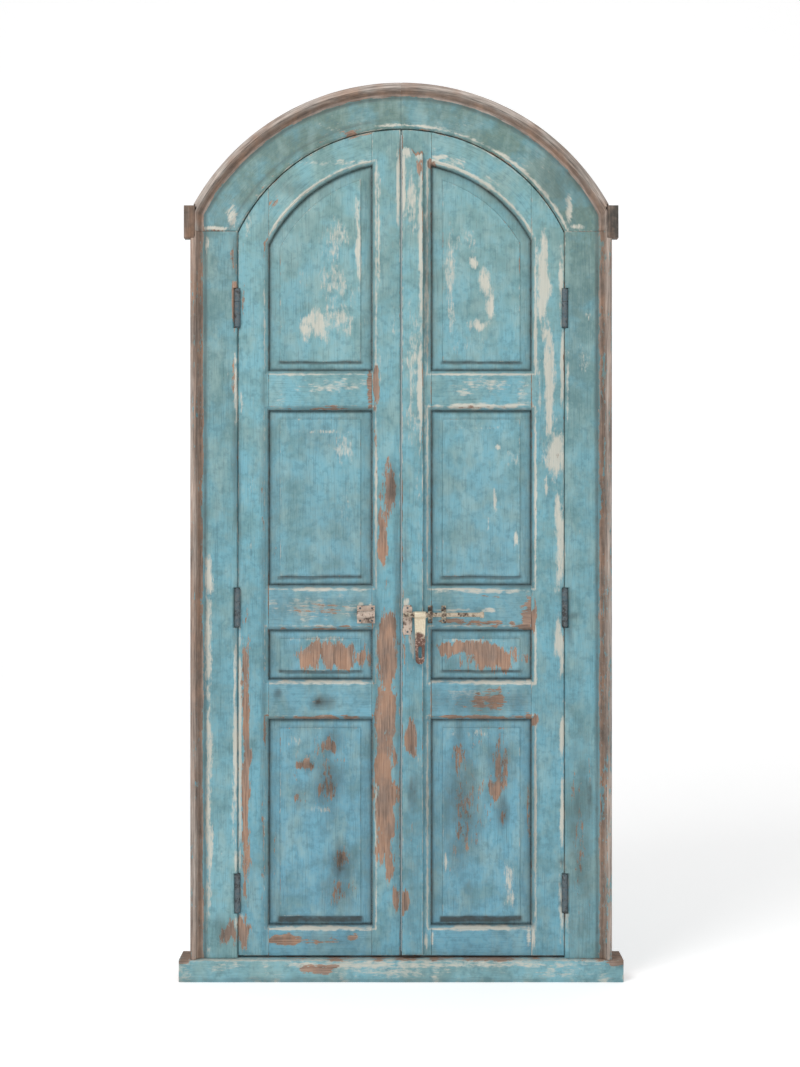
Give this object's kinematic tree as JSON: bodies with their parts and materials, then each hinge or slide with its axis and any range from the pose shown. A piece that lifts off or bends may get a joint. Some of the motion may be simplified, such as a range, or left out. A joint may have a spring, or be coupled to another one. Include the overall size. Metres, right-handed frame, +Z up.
{
  "type": "arched wooden door",
  "caption": "Old arched double door in its painted timber frame, with panelled leaves on butt hinges, a sliding bolt and a hasp.",
  "frame": {"origin": "middle of the underside of the sill, under the middle of the whole depth", "axes": "+Z up, the front faces -Y, +X to the right seen from the front"},
  "size_m": [1.187, 0.1068, 2.4],
  "materials": {
    "frame_paint": "worn green-blue oil paint over brown timber",
    "upper_leaf_paint": "worn green-blue oil paint with pale scuffs",
    "lower_leaf_paint": "flaking blue oil paint with bare timber showing",
    "bare_timber": "dark weathered bare timber",
    "old_iron": "rusted and paint-flecked wrought iron",
    "worn_brass": "dull brass with old cream paint on it"
  },
  "bodies": {
    "frame": {"sill": "frame_paint", "jamb_left": "frame_paint", "jamb_right": "frame_paint", "head_left": "frame_paint", "head_right": "frame_paint", "cleat_left": "bare_timber", "cleat_right": "bare_timber", "left_lower_hinge_frame_half": "old_iron", "left_lower_hinge_pin": "old_iron", "left_middle_hinge_frame_half": "old_iron", "left_middle_hinge_pin": "old_iron", "left_upper_hinge_frame_half": "old_iron", "left_upper_hinge_pin": "old_iron", "right_lower_hinge_frame_half": "old_iron", "right_lower_hinge_pin": "old_iron", "right_middle_hinge_frame_half": "old_iron", "right_middle_hinge_pin": "old_iron", "right_upper_hinge_frame_half": "old_iron", "right_upper_hinge_pin": "old_iron"},
    "left_leaf": {"left_hinge_stile": "upper_leaf_paint", "left_meeting_stile": "upper_leaf_paint", "left_top_rail": "upper_leaf_paint", "left_upper_rail": "upper_leaf_paint", "left_lock_rail": "lower_leaf_paint", "left_lower_rail": "lower_leaf_paint", "left_bottom_rail": "lower_leaf_paint", "left_arched_panel": "upper_leaf_paint", "left_tall_panel": "upper_leaf_paint", "left_short_panel": "lower_leaf_paint", "left_bottom_panel": "lower_leaf_paint", "left_lower_hinge_leaf_half": "old_iron", "left_middle_hinge_leaf_half": "old_iron", "left_upper_hinge_leaf_half": "old_iron", "bolt_keeper": "old_iron"},
    "right_leaf": {"right_hinge_stile": "upper_leaf_paint", "right_meeting_stile": "upper_leaf_paint", "right_top_rail": "upper_leaf_paint", "right_upper_rail": "upper_leaf_paint", "right_lock_rail": "lower_leaf_paint", "right_lower_rail": "lower_leaf_paint", "right_bottom_rail": "lower_leaf_paint", "right_arched_panel": "upper_leaf_paint", "right_tall_panel": "upper_leaf_paint", "right_short_panel": "lower_leaf_paint", "right_bottom_panel": "lower_leaf_paint", "cover_strip": "upper_leaf_paint", "right_lower_hinge_leaf_half": "old_iron", "right_middle_hinge_leaf_half": "old_iron", "right_upper_hinge_leaf_half": "old_iron", "wear_plate": "old_iron", "bolt_inner_guide": "old_iron", "bolt_outer_guide": "old_iron"},
    "bolt": {"bolt": "old_iron"},
    "hasp": {"hasp": "worn_brass"}
  },
  "joints": [
    {"name": "left_leaf_hinge", "type": "hinge", "parent": "frame", "child": "left_leaf", "pos_m": [-0.4385, -0.02465, 0], "axis": [0, 0, -1], "range_deg": [0, 110]},
    {"name": "right_leaf_hinge", "type": "hinge", "parent": "frame", "child": "right_leaf", "pos_m": [0.4385, -0.02465, 0], "axis": [0, 0, 1], "range_deg": [0, 110]},
    {"name": "bolt_slide", "type": "slide", "parent": "right_leaf", "child": "bolt", "axis": [-1, 0, 0], "range_m": [0, 0.09]},
    {"name": "hasp_swing", "type": "hinge", "parent": "bolt", "child": "hasp", "pos_m": [0.0505, -0.04355, 0.979], "axis": [-1, 0, 0], "range_deg": [0, 150]}
  ]
}
